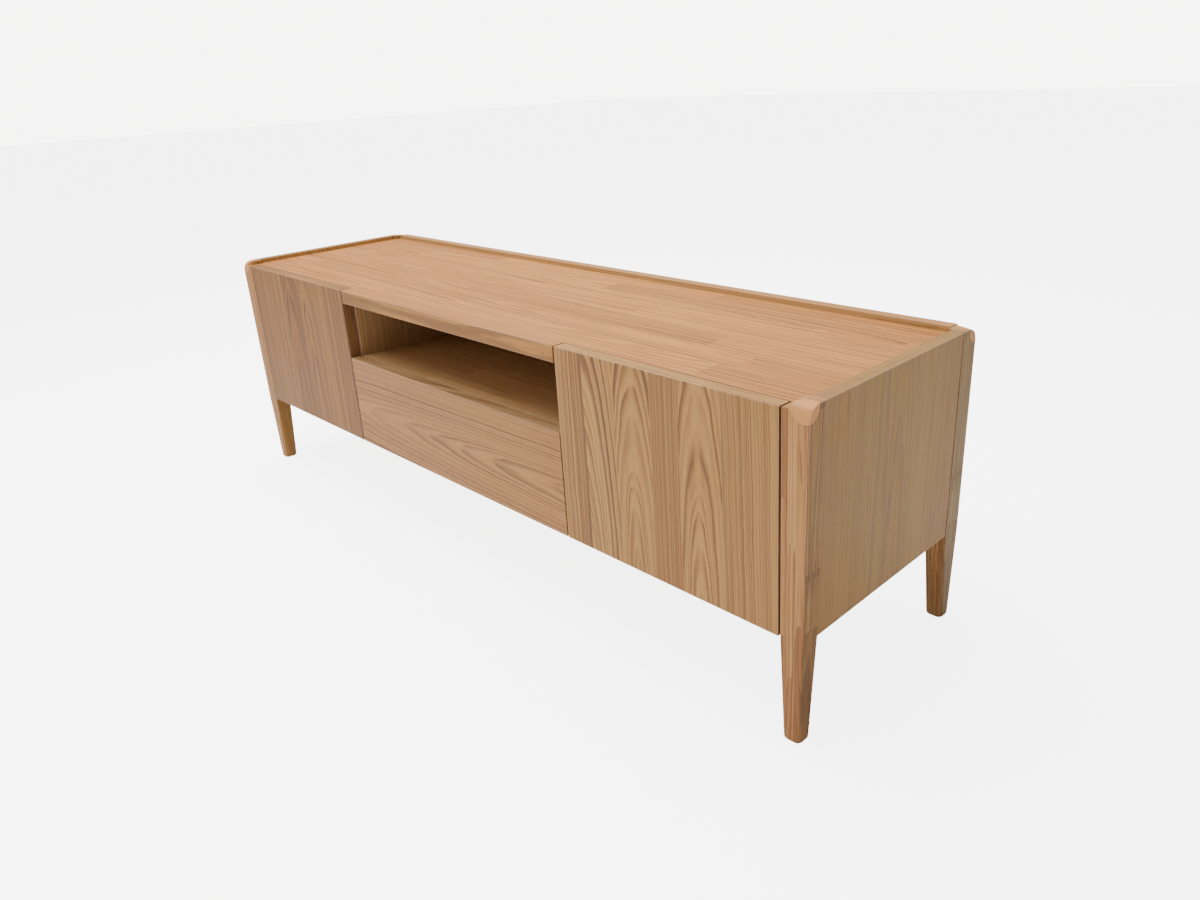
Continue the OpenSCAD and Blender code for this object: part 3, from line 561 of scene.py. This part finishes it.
boards(["bottom_panel", "niche_shelf", *both("shelf")], "x", **INSIDE, contrast=0.6, tone=0.1, width=0.07,
       length=1.1, gap=0.0035, depth=0.03, slant=0.004, spread=0.1, seed=2.7)
boards(["back_panel"], "x_front", edge=0, facing=-1.0, **INSIDE, contrast=0.4, width=0.12, gap=0.004,
       depth=0.04, seed=5.2)
boards(["case_dowels"], "z", edge=0, **LEG, contrast=0.3)
boards(both("hinge_batten"), "z_side", **SIDE, contrast=0.5, width=0.2, seed=8.2)
boards(["drawer_box_front", "drawer_back"], "x_front", facing=-1.0, **SIDE, contrast=0.4, width=0.15,
       depth=0.05, seed=3.1)
boards(["drawer_left_side", "drawer_right_side"], "y_side", **SIDE, contrast=0.4, width=0.15, depth=0.05,
       seed=3.6)
boards(["drawer_bottom"], "x", **SIDE, contrast=0.3, width=0.2, seed=7.7)

# ---- Steel, zinc and plastic fittings ------------------------------------------------------

BRUSHED_TINT, WORN_HIGHLIGHT_BRIGHT, FITTING_EDGE = (0.7, 0.7, 0.72), (0.5, 0.5, 0.5, 1), 0.0012
FITTING_RELIEF = 0.00004


def handling_group():
    """Brushing along one axis, dull blotches and fine scratches on a fitting."""
    tree, given, gives = new_group(
        "handling", [("Place", "Vector", None), ("Brush", "Vector", (1.0, 1.0, 1.0))],
        [("Brushed", "Float"), ("Blotch", "Float"), ("Scratch", "Float")])
    place = given["Place"]
    brushed = noise(tree, vectors(tree, "MULTIPLY", place, given["Brush"]), 3.0, 0.65)
    blotch = noise(tree, scaled(tree, place, 140.0), 4.0, 0.6)
    bent = noise(tree, scaled(tree, place, 260.0), 1.0, 0.5, "Color")
    drawn = vectors(tree, "MULTIPLY", place, (2400.0, 500.0, 900.0))
    scratch = noise(tree, vectors(tree, "ADD", drawn, scaled(tree, bent, 6.0)), 1.0, 0.4)
    tree.links.new(brushed, gives["Brushed"])
    tree.links.new(carried(tree, blotch, 0.35, 0.68), gives["Blotch"])
    tree.links.new(carried(tree, scratch, 0.66, 0.72), gives["Scratch"])
    return tree


HANDLING = handling_group()


def fitting(name, colour, dull, box, metallic, rough, brush, wear=0.25):
    """A small hardware part: brushed or moulded, dull in blotches, and lighter along its arrises, worn there and
    with a painted highlight.
    """
    material, tree, shader, coordinates = new_material(name)
    place = coordinates["Object"]
    worn = use_group(tree, HANDLING, {"Place": place, "Brush": brush})
    edge = use_group(tree, EDGES, {"Place": place, "Low": tuple(box[0]), "High": tuple(box[1]),
                                   "Width": FITTING_EDGE})
    base = mixed(tree, "MIX", times(tree, worn["Blotch"], 0.55), (*colour, 1), (*dull, 1))
    base = tinted(tree, base, worn["Brushed"], 0.35, BRUSHED_TINT)
    # Painted highlight, partly wear: the arrises are screened lighter
    base = mixed(tree, "SCREEN", times(tree, edge["Edge"], wear), base, WORN_HIGHLIGHT_BRIGHT)
    tree.links.new(base, shader.inputs["Base Color"])
    uneven = add(tree, times(tree, worn["Blotch"], 0.14), times(tree, worn["Brushed"], 0.1))
    uneven = less(tree, uneven, times(tree, worn["Scratch"], 0.1))
    tree.links.new(add(tree, uneven, rough), shader.inputs["Roughness"])
    relief = less(tree, worn["Brushed"], times(tree, worn["Scratch"], 0.5))
    bump = put(tree, "Bump", {"Height": relief, "Distance": FITTING_RELIEF, "Strength": 0.6})
    tree.links.new(bump.outputs[0], shader.inputs["Normal"])
    shader.inputs["Metallic"].default_value = metallic
    return material


def hardware(names, finish, brush, **look):
    dress(names, lambda name: fitting(name + "_finish", box=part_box(name), brush=brush, **finish, **look))


NICKEL = dict(colour=(0.62, 0.60, 0.56), dull=(0.42, 0.40, 0.37), metallic=1.0, rough=0.24)
ZINC = dict(colour=(0.55, 0.56, 0.58), dull=(0.36, 0.37, 0.38), metallic=1.0, rough=0.34)
YELLOW_ZINC = dict(colour=(0.62, 0.50, 0.28), dull=(0.45, 0.35, 0.18), metallic=1.0, rough=0.3)
GREY_PLASTIC = dict(colour=(0.24, 0.24, 0.245), dull=(0.19, 0.19, 0.19), metallic=0.0, rough=0.42)
ALONG_X, ALONG_Y, EVEN = (60.0, 1800.0, 1800.0), (1800.0, 60.0, 1800.0), (900.0, 900.0, 900.0)

hardware(both("hinge_arms"), NICKEL, ALONG_X)
hardware([*both("hinge_plates"), *both("hinge_links")], NICKEL, ALONG_Y)
hardware(both("hinge_cups"), NICKEL, EVEN)
hardware([*both("strike"), "drawer_strike"], ZINC, EVEN)
hardware(["case_runners", "middle_runners", "drawer_runners"], ZINC, ALONG_Y)
hardware(["case_runner_screws", "drawer_runner_screws", "plate_screws", *both("cup_screws"), "shelf_pins"],
         NICKEL, EVEN)
hardware(["back_panel_screws", "drawer_front_screws"], YELLOW_ZINC, EVEN)
hardware([*both("latch_body"), "drawer_latch_body"], GREY_PLASTIC, EVEN, wear=0.06)
hardware([*both("latch_plunger"), "drawer_latch_plunger"], GREY_PLASTIC, ALONG_Y, wear=0.06)
